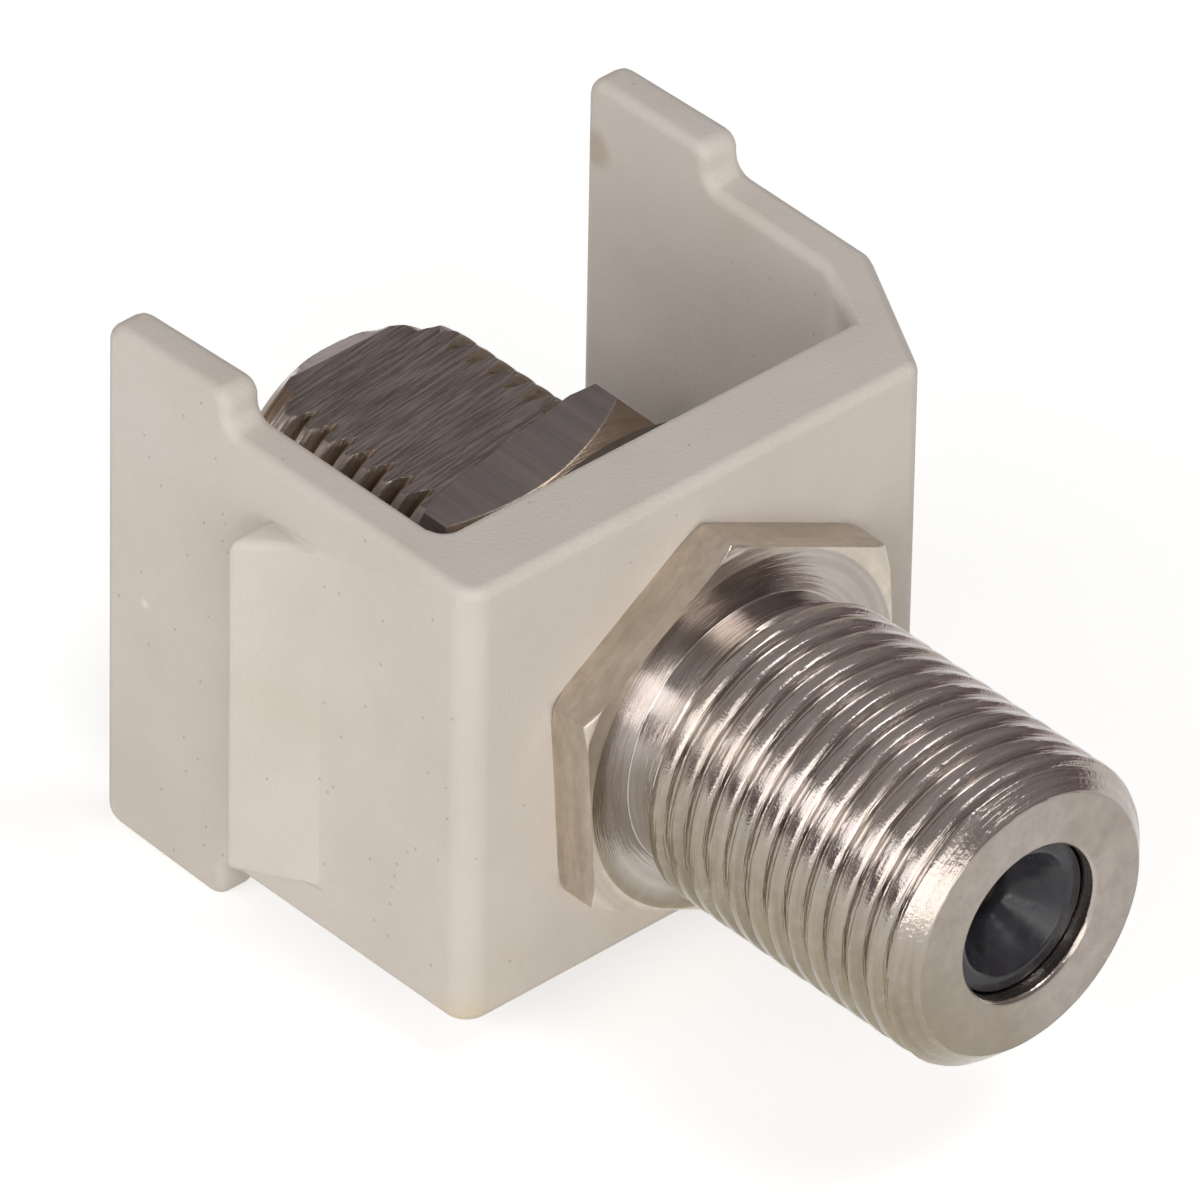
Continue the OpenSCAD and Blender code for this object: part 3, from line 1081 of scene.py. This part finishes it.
@dataclass(frozen=True)
class Envelope:
    """The blank that a thread is cut in: its outline and where the thread fades."""

    outline: tuple[tuple[float, float], ...]
    fade_from: float
    fade_to: float

    def blank(self, station: np.ndarray) -> np.ndarray:
        """Radius of the blank at each station."""
        return np.interp(station, [p[1] for p in self.outline], [p[0] for p in self.outline])

    def fade(self, station: np.ndarray) -> np.ndarray:
        """Share of the thread's depth at each station."""
        return np.clip((station - self.fade_to) / (self.fade_from - self.fade_to), 0.0, 1.0)


def settle(
    piece: bpy.types.Object, material: bpy.types.Material, node: str | None = None
) -> bpy.types.Object:
    """Gives a piece its finish and fixes it to the part.

    Args:
        piece: The piece, in place.
        material: Its material.
        node: CAD node that it stands for, or None.

    Returns:
        The piece.
    """
    piece.data.materials.clear()
    piece.data.materials.append(material)
    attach(piece, ROOT_BODY)
    if node:
        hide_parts(node)
    LOG.info("%s: %d faces", piece.name, len(piece.data.polygons))
    return piece


@dataclass(frozen=True)
class Stations:
    """Main stations and radii in millimetres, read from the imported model."""

    barrel_front: float
    barrel_rear: float
    thread_r: float
    front_thread_start: float
    nut_front: float
    nut_back: float

    @classmethod
    def read(cls) -> "Stations":
        """Reads the stations.

        Returns:
            The stations.
        """
        low, high = (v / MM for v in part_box("connector_body"))
        nut_low, nut_high = (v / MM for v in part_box("mounting_nut"))
        port = next(m for m in frame["record"]["mounts"] if m["name"] == "front_port")
        start = port["pos_m"][1] / MM + port["dims"]["length_mm"] / 2
        return cls(low.y, high.y, port["dims"]["r_mm"], start, nut_low.y, nut_high.y)


# Sub-assemblies


@dataclass
class Carrier:
    """The moulded U-shaped carrier, with its mould edges rounded."""

    finish: AlmondPlastic
    edge_radius: float = 0.36
    foot_radius: float = 0.5
    ramp_foot_radius: float = 0.15
    tab_radius: float = 0.55
    hole_reach: float = 5.2
    hole_depth: float = 3.0
    tabs_from: float = 9.0
    long_edge: float = 2.0
    weld: float = 0.002
    along: float = 0.95
    steepest: float = 0.9
    merge_angle: float = 1.0
    edge_angle: float = 17.0
    crisp_angle: float = 40.0
    segments: int = 4

    def build(self) -> bpy.types.Object:
        """Rounds a copy of the CAD solid and dresses it.

        Returns:
            The carrier.
        """
        solid = frame["nodes"]["carrier"]
        made = bmesh.new()
        made.from_mesh(solid.data)
        bmesh.ops.remove_doubles(made, verts=made.verts, dist=self.weld * MM)
        bmesh.ops.dissolve_limit(
            made, angle_limit=math.radians(self.merge_angle), verts=made.verts, edges=made.edges
        )
        made.normal_update()
        self._free_feet(made)
        fresh: set[bmesh.types.BMFace] = set()
        for radius, choose in (
            (self.foot_radius, self._at_tab_foot),
            (self.ramp_foot_radius, self._at_ramp_foot),
            (self.tab_radius, self._at_tab_end),
            (self.edge_radius, self._outside),
        ):
            fresh = self._round(made, radius, choose, fresh)
        mesh = bpy.data.meshes.new("carrier_moulding")
        made.to_mesh(mesh)
        made.free()
        piece = show("carrier_moulding", mesh, self.crisp_angle)
        return settle(piece, self.finish.material(), "carrier")

    def _free_feet(self, made: bmesh.types.BMesh) -> None:
        """Moves edges that only divide a flat face away from the feet of the tabs.

        Args:
            made: The moulding's mesh.
        """
        flat = math.radians(self.merge_angle)
        feet: dict[bmesh.types.BMVert, None] = {}
        for edge in made.edges:
            if len(edge.link_faces) == 2 and self._at_tab_foot(edge, self._way(edge)):
                feet.update(dict.fromkeys(edge.verts))
        for foot in feet:
            for divide in [e for e in foot.link_edges if e.calc_face_angle(1.0) < flat]:
                self._move_divide(made, foot, divide)
        made.normal_update()

    def _move_divide(
        self, made: bmesh.types.BMesh, foot: bmesh.types.BMVert, divide: bmesh.types.BMEdge
    ) -> None:
        """Replaces one dividing edge at a tab's foot by one from the middle of the edge beside it.

        Args:
            made: The moulding's mesh.
            foot: The corner at the tab's foot.
            divide: The dividing edge.
        """
        far = divide.other_vert(foot)
        for beside in foot.link_edges:
            long = abs(beside.other_vert(foot).co.y - foot.co.y) > self.long_edge * MM
            if beside is not divide and long and set(beside.link_faces) & set(divide.link_faces):
                break
        else:
            return
        _, middle = bmesh.utils.edge_split(beside, foot, 0.5)
        face = next(face for face in divide.link_faces if middle in face.verts)
        bmesh.utils.face_split(face, middle, far)
        bmesh.ops.dissolve_edges(made, edges=[divide], use_verts=False)

    @staticmethod
    def _way(edge: bmesh.types.BMEdge) -> Vector:
        """Direction in which an edge runs."""
        return (edge.verts[1].co - edge.verts[0].co).normalized()

    def _round(
        self,
        made: bmesh.types.BMesh,
        radius: float,
        choose: Callable[[bmesh.types.BMEdge, Vector], bool],
        fresh: set[bmesh.types.BMFace],
    ) -> set[bmesh.types.BMFace]:
        """Rounds every edge that a rule picks.

        Args:
            made: The moulding's mesh.
            radius: Edge radius in millimetres.
            choose: Whether an edge with a given direction is rounded.
            fresh: Faces that earlier rounding made, whose inner edges are left.

        Returns:
            All faces made by rounding so far.
        """
        picked = []
        for edge in made.edges:
            if len(edge.link_faces) != 2 or edge.calc_face_angle(0.0) < math.radians(self.edge_angle):
                continue
            if all(face in fresh for face in edge.link_faces):
                continue
            if all(self._by_hole(v.co) for v in edge.verts):
                continue
            if choose(edge, self._way(edge)):
                picked.append(edge)
        done = bmesh.ops.bevel(
            made,
            geom=picked,
            offset=radius * MM,
            offset_type="OFFSET",
            segments=self.segments,
            profile=0.5,
            affect="EDGES",
            clamp_overlap=False,
            miter_outer="SHARP",
            miter_inner="SHARP",
        )
        made.normal_update()
        LOG.info("carrier: %d edges rounded at %.2f mm", len(picked), radius)
        return {face for face in fresh if face.is_valid} | set(done["faces"])

    def _by_hole(self, point: Vector) -> bool:
        """Whether a point is on the hole of the front wall."""
        return math.hypot(point.x, point.z) < self.hole_reach * MM and point.y < self.hole_depth * MM

    def _at_tab_foot(self, edge: bmesh.types.BMEdge, way: Vector) -> bool:
        """Whether an edge is the inside corner at the foot of a tab."""
        return not edge.is_convex and abs(way.x) > self.along

    def _at_ramp_foot(self, edge: bmesh.types.BMEdge, way: Vector) -> bool:
        """Whether an edge is an inside corner round a ramp."""
        return not edge.is_convex and abs(way.x) < self.along and abs(way.z) < self.steepest

    def _at_tab_end(self, edge: bmesh.types.BMEdge, way: Vector) -> bool:
        """Whether an edge ends the top or underside of a tab."""
        return edge.is_convex and abs(way.x) > self.along and edge.verts[0].co.y > self.tabs_from * MM

    def _outside(self, edge: bmesh.types.BMEdge, way: Vector) -> bool:
        """Whether an edge is an outside corner."""
        return edge.is_convex


@dataclass
class Barrel:
    """The one-piece barrel: front thread, hex flange, rear thread with its flat."""

    at: Stations
    finish: PlatedBrass
    rear_finish: PlatedBrass
    across_flats: float = 11.1
    flange_flat_angle: float = 63.9
    flange_thickness: float = 1.5
    corner_cut: float = 0.14
    corner_reach: float = 0.3
    neck_r: float = 4.22
    neck_length: float = 0.95
    neck_cone: float = 0.42
    aperture_r: float = 2.38
    lip_thickness: float = 0.9
    end_face_r: float = 3.98
    thread_depth: float = 0.29
    rear_thread_depth: float = 0.48
    flat_height: float = 3.55
    turned_end: float = 0.4
    nose_r: float = 4.2
    nose_length: float = 1.05
    nose_chamfer: float = 0.6
    nose_cone: float = 0.3
    lip_depth: float = 1.2
    core_r: float = 3.3
    lead_length: float = 0.72
    shank_step: float = 0.2
    hidden_reach: float = 1.6
    lead_in: tuple[float, float] = (0.12, 0.1)
    run_out: tuple[float, float] = (0.3, 0.4)
    rear_run_out: tuple[float, float] = (1.0, 0.1)

    def build(self) -> list[bpy.types.Object]:
        """Builds both halves of the barrel.

        Returns:
            The two pieces.
        """
        front = settle(self._front(), self.finish.material(), "connector_body")
        rear = settle(self._rear(), self.rear_finish.material(), "connector_body")
        return [front, rear]

    def _front(self) -> bpy.types.Object:
        """The flange and everything in front of it.

        Returns:
            The piece.
        """
        skin = RingMesh(columns=240, turn=self.flange_flat_angle)
        slope = self.corner_cut / self.corner_reach
        hexagon, face_r, sunk = skin.hexagon(
            self.across_flats, self.flange_flat_angle, self.corner_reach, slope
        )
        front, back = -self.flange_thickness, 0.0
        tip = self.at.barrel_front
        lip_back = tip + self.lip_thickness
        end = [
            (self.aperture_r, lip_back),
            (self.aperture_r, tip + self.lead_in[1]),
            (self.aperture_r + self.lead_in[0], tip),
            (self.end_face_r, tip),
        ]
        skin.lay(end, [0, 0.05, 0.05, 0])
        start = front - self.neck_length
        blank = (
            (self.end_face_r, tip),
            (self.end_face_r + 0.06, tip + 0.03),
            (self.at.thread_r, tip + self.lead_length),
            (self.at.thread_r, start - self.neck_cone),
            (self.neck_r, start),
        )
        limit = Envelope(blank, start - self.run_out[0], start + self.run_out[1])
        thread = ThreadForm(self.at.thread_r, self.thread_depth)
        skin.screw(thread, tip, start, limit)
        neck = [
            (self.neck_r, start),
            (self.neck_r, front),
            (face_r, front),
            (hexagon, front + sunk),
            (hexagon, back - sunk),
            (face_r, back),
            (self.at.thread_r, back),
        ]
        skin.lay(neck, [0, 0.05, 0.07, 0.07, 0.06, 0.06, 0], 5)
        bore = [
            (self.at.thread_r, back),
            (self.core_r, back),
            (self.core_r, lip_back),
            (self.aperture_r, lip_back),
        ]
        skin.lay(bore)
        return skin.make("barrel_front")

    def _rear(self) -> bpy.types.Object:
        """The threaded rear part with its milled flat and plain nose.

        Returns:
            The piece.
        """
        skin = RingMesh(columns=240)
        tail = self.at.barrel_rear
        nose = tail - self.nose_length
        hidden = self.at.nut_back - self.hidden_reach
        shank = self.at.thread_r - self.shank_step
        skin.lay([(shank, 0.0), (shank, hidden)], flat=self.flat_height)
        blank = (
            (shank, hidden),
            (self.at.thread_r, hidden + self.shank_step),
            (self.at.thread_r, nose - self.nose_cone),
            (self.nose_r, nose),
        )
        limit = Envelope(blank, nose - self.rear_run_out[0], nose + self.rear_run_out[1])
        thread = ThreadForm(self.at.thread_r, self.rear_thread_depth, crest_share=0.36, seed=11)
        skin.screw(thread, hidden, nose, limit, self.flat_height)
        end = [
            (self.nose_r, nose),
            (self.nose_r, tail - self.nose_chamfer),
            (self.nose_r - self.nose_chamfer, tail),
            (self.core_r, tail),
            (self.core_r, tail - self.lip_depth),
        ]
        skin.lay(end, [0, 0.3, 0.14, 0.05, 0], 6, self.flat_height)
        bore = [
            (self.core_r, tail - self.lip_depth),
            (self.core_r, 0.0),
            (shank, 0.0),
        ]
        skin.lay(bore, flat=self.flat_height)
        return skin.make("barrel_rear", 30.0)


@dataclass
class MountingNut:
    """Hex nut with a cone and a bearing collar towards the wall."""

    at: Stations
    finish: PlatedBrass
    across_flats: float = 11.1
    flat_angle: float = 102.1
    bore_r: float = 4.56
    collar_r: float = 5.03
    collar_length: float = 0.7
    rear_reach: float = 0.35
    rear_slope: float = 0.6
    thread_lead: float = 0.3
    lead_in: float = 0.12

    def build(self) -> bpy.types.Object:
        """Builds and dresses the nut.

        Returns:
            The nut.
        """
        skin = RingMesh(columns=240, turn=self.flat_angle)
        hexagon, rear_face, sunk = skin.hexagon(
            self.across_flats, self.flat_angle, self.rear_reach, self.rear_slope
        )
        front, back = self.at.nut_front, self.at.nut_back
        cone = front + self.collar_length
        section = [
            (self.bore_r, back - self.thread_lead),
            (self.bore_r + self.lead_in, back),
            (rear_face, back),
            (hexagon, back - sunk),
            (hexagon, cone + hexagon - self.collar_r),
            (self.collar_r, cone),
            (self.collar_r, front),
            (self.bore_r, front),
            (self.bore_r, back - self.thread_lead),
        ]
        skin.lay(section, [0, 0.05, 0.06, 0.06, 0.05, 0.05, 0.04, 0.03, 0])
        return settle(skin.make("mounting_nut_turned"), self.finish.material(), "mounting_nut")


@dataclass
class Insulator:
    """One half of the insulator pair, with the funnel that guides the centre wire."""

    at: Stations
    port: Port
    finish: InsulatorPlastic
    boss_r: float = 2.35
    face_depth: float = 0.52
    funnel_r: float = 1.9
    hole_r: float = 0.75
    funnel_depth: float = 1.4
    land: float = 0.4
    body_r: float = 3.26
    body_depth: float = 1.1
    cavity_r: float = 1.2

    def build(self) -> bpy.types.Object:
        """Builds and dresses this half.

        Returns:
            The insulator.
        """
        skin = RingMesh(columns=160)
        way = -self.port.value
        end = self.at.barrel_front if self.port is Port.FRONT else self.at.barrel_rear
        middle = (self.at.barrel_front + self.at.barrel_rear) / 2
        face = end + way * self.face_depth
        section = [
            (self.cavity_r, middle),
            (self.cavity_r, face + way * (self.funnel_depth + self.land)),
            (self.hole_r, face + way * (self.funnel_depth + self.land)),
            (self.hole_r, face + way * self.funnel_depth),
            (self.funnel_r, face),
            (self.boss_r, face),
            (self.boss_r, end + way * self.body_depth),
            (self.body_r, end + way * self.body_depth),
            (self.body_r, middle),
            (self.cavity_r, middle),
        ]
        skin.lay(section, [0, 0, 0.04, 0.3, 0.12, 0.07, 0.03, 0.05, 0.03, 0], 6)
        name = self.port.name.lower() + "_insulator"
        return settle(skin.make(name + "_moulding"), self.finish.material(), name)


@dataclass
class KeptSolid:
    """A sub-assembly whose CAD solid already has its full shape and only takes a finish."""

    finish: EvenFinish | PlatedBrass
    node: ClassVar[str]

    def build(self) -> None:
        """Dresses the CAD solid."""
        solid = frame["nodes"][self.node]
        solid.data.materials.clear()
        solid.data.materials.append(self.finish.material())
        LOG.info("%s: CAD solid kept", self.node)


class Contact(KeptSolid):
    """The double-ended spring contact."""

    node = "centre_contact"


class LockWasher(KeptSolid):
    """The toothed lock washer."""

    node = "lock_washer"


class RetainingRing(KeptSolid):
    """The ring rolled in behind the rear insulator."""

    node = "retaining_ring"


# Studio


@dataclass(frozen=True)
class Softbox:
    """A rectangular soft lamp that looks at the part, level along its width."""

    name: str
    direction: Colour
    distance: float
    width: float
    height: float
    radiance: float
    colour: Colour = (1.0, 1.0, 1.0)

    def hang(self) -> bpy.types.Object:
        """Hangs the lamp.

        Returns:
            The lamp.
        """
        data = bpy.data.lights.new(self.name, "AREA")
        data.shape = "RECTANGLE"
        data.size, data.size_y = self.width, self.height
        data.energy = self.radiance * math.pi * self.width * self.height
        data.color = self.colour
        lamp = show(self.name, data)
        away = Vector(self.direction).normalized()
        lamp.location = away * self.distance
        lamp.rotation_euler = away.to_track_quat("Z", "Y").to_euler()
        return lamp


@dataclass
class Studio:
    """Camera, lamps, surroundings and the pale floor."""

    camera_at: Colour = (-0.31026, -0.33216, 0.34388)
    camera_right: Colour = (0.74284, -0.66929, 0.01535)
    camera_up: Colour = (0.39218, 0.45364, 0.80025)
    lens: float = 627.06
    floor_colour: Colour = (0.80, 0.79, 0.775)
    floor_glow: float = 0.6
    sky: tuple[tuple[float, Colour], ...] = (
        (0.0, (0.95, 0.93, 0.90)),
        (0.045, (0.80, 0.77, 0.74)),
        (0.10, (0.26, 0.19, 0.21)),
        (0.17, (0.15, 0.09, 0.11)),
        (0.30, (0.30, 0.27, 0.278)),
        (0.60, (0.37, 0.343, 0.337)),
        (0.75, (0.46, 0.43, 0.43)),
        (0.90, (0.50, 0.48, 0.47)),
    )
    ambient_low: float = 0.50
    ambient_high: float = 0.21
    lamps: tuple[Softbox, ...] = (
        Softbox("left_bank", (-0.80, 0.0, 0.50), 0.6, 0.98, 0.21, 2.07),
        Softbox("front_key", (-0.45, -0.86, 0.25), 0.6, 0.36, 0.36, 2.65, (1.0, 0.985, 0.965)),
        Softbox("top_front", (0.2, -0.38, 0.90), 0.55, 0.24, 0.2, 4.5),
        Softbox("left_front_strip", (-0.78, -0.60, 0.16), 0.6, 0.06, 0.16, 6.8),
    )

    def build(self) -> None:
        """Sets up the whole studio."""
        self._camera()
        self._world()
        self._floor()
        for lamp in self.lamps:
            lamp.hang()
        bpy.context.scene.view_settings.view_transform = "Standard"

    def _camera(self) -> None:
        """Places the camera."""
        data = bpy.data.cameras.new("camera")
        data.lens = self.lens
        data.sensor_width = 36.0
        data.clip_start, data.clip_end = 0.01, 10.0
        camera = show("camera", data)
        right, up = Vector(self.camera_right).normalized(), Vector(self.camera_up).normalized()
        back = right.cross(up).normalized()
        up = back.cross(right)
        turn = Matrix((right, up, back)).transposed()
        camera.matrix_world = Matrix.Translation(self.camera_at) @ turn.to_4x4()
        bpy.context.scene.camera = camera

    def _world(self) -> None:
        """Pale horizon under a dim ceiling, with an even ambient light."""
        world = bpy.data.worlds.new("studio")
        bpy.context.scene.world = world
        world.use_nodes = True
        tree = world.node_tree
        tree.nodes.clear()
        bench = NodeBench(tree)
        direction = bench.add("ShaderNodeTexCoord").outputs["Generated"]
        height = bench.axes(direction)[2]
        seen = bench.add("ShaderNodeBackground")
        ramp = bench.add("ShaderNodeValToRGB")
        steps = ramp.color_ramp.elements
        steps[0].position, steps[1].position = self.sky[0][0], self.sky[-1][0]
        for place, _ in self.sky[1:-1]:
            steps.new(place)
        for step, (_, colour) in zip(steps, self.sky):
            step.color = (*colour, 1.0)
        bench.wire(height, ramp.inputs[0])
        bench.wire(ramp.outputs[0], seen.inputs["Color"])
        lit = bench.add("ShaderNodeBackground")
        bench.wire(bench.ramp(height, -0.1, 0.8, self.ambient_low, self.ambient_high), lit.inputs["Strength"])
        mixed = bench.blend(bench.shown(), lit.outputs[0], seen.outputs[0])
        bench.wire(mixed, bench.add("ShaderNodeOutputWorld").inputs["Surface"])

    def _floor(self) -> None:
        """A pale floor under the part that keeps its shadow, and lets the part be seen from below."""
        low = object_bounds()[0].z
        mesh = bpy.data.meshes.new("floor")
        reach = 1.5
        corners = [(-reach, -reach, low), (reach, -reach, low), (reach, reach, low), (-reach, reach, low)]
        mesh.from_pydata(corners, [], [(0, 1, 2, 3)])
        floor = show("floor", mesh)
        material = bpy.data.materials.new("pale_floor")
        material.use_nodes = True
        bench = NodeBench(material.node_tree)
        shader = material.node_tree.nodes["Principled BSDF"]
        shader.inputs["Roughness"].default_value = 0.9
        shader.inputs["Specular IOR Level"].default_value = 0.1
        mottle = bench.noise(bench.object_point(), 60.0, 3.0)
        faint = bench.ramp(mottle, 0.3, 0.7, 0.0, 0.05)
        bench.wire(bench.mix(faint, self.floor_colour, (0.9, 0.9, 0.9)), shader.inputs["Base Color"])
        glow = bench.add("ShaderNodeEmission")
        bench.wire(bench.times(bench.shown(), self.floor_glow), glow.inputs["Strength"])
        both = bench.add("ShaderNodeAddShader")
        bench.wire(shader.outputs[0], both.inputs[0])
        bench.wire(glow.outputs[0], both.inputs[1])
        from_below = bench.add("ShaderNodeNewGeometry").outputs["Backfacing"]
        clear = bench.add("ShaderNodeBsdfTransparent").outputs[0]
        one_sided = bench.blend(from_below, both.outputs[0], clear)
        bench.wire(one_sided, material.node_tree.nodes["Material Output"].inputs["Surface"])
        mesh.materials.append(material)
        floor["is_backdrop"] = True


def main() -> None:
    logging.basicConfig(level=logging.INFO, format="%(name)s %(message)s")
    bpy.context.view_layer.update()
    at = Stations.read()
    LOG.info("stations %s", at)
    plastic = AlmondPlastic(
        "almond_plastic",
        0.62,
        spots=(
            Spot((8.87, 14.55, 6.6), 0.85, (0.40, 0.28, 0.17), 0.4),
            Spot((-8.74, 13.25, 0.18), 0.22, (0.9, 0.86, 0.8), 0.8),
            Spot((-8.74, 13.58, 9.73), 0.2, (0.88, 0.84, 0.78), 0.7),
            Spot((-8.6, 0.1, -7.1), 1.5, (0.72, 0.60, 0.33), 0.4),
        ),
    )
    body = PlatedBrass(
        "nickel_plate_body", 0.13, root_share=0.12, side_r=5.55, burr=0.009, face_y=at.barrel_front,
        chip_depth=0.016, bright_from=at.front_thread_start,
    )
    # The rear's root colour is a strong, brown painted shade in its thread grooves.
    rear = PlatedBrass(
        "nickel_plate_rear", 0.28, base=(0.42, 0.36, 0.32), flat_height=Barrel.flat_height,
        flat_end=at.barrel_rear - Barrel.turned_end, root_share=0.8, root=(0.24, 0.17, 0.10),
        thread_depth=0.48, burr=0.012,
    )
    nut = PlatedBrass(
        "nickel_plate_nut", 0.28, base=(0.27, 0.236, 0.228), drag=True, root_share=0.0,
        cone_offset=at.nut_front + MountingNut.collar_length - MountingNut.collar_r,
    )
    ring = PlatedBrass("nickel_plate_ring", 0.2)
    steel = PlatedSteel("washer_steel", 0.36)
    bronze = SpringBronze("contact_bronze", 0.3)
    dark = InsulatorPlastic("dark_insulator", 0.22)
    Carrier(plastic).build()
    Barrel(at, body, rear).build()
    MountingNut(at, nut).build()
    LockWasher(steel).build()
    for port in Port:
        Insulator(at, port, dark).build()
    Contact(bronze).build()
    RetainingRing(ring).build()
    Studio().build()


if __name__ == "__main__":
    main()
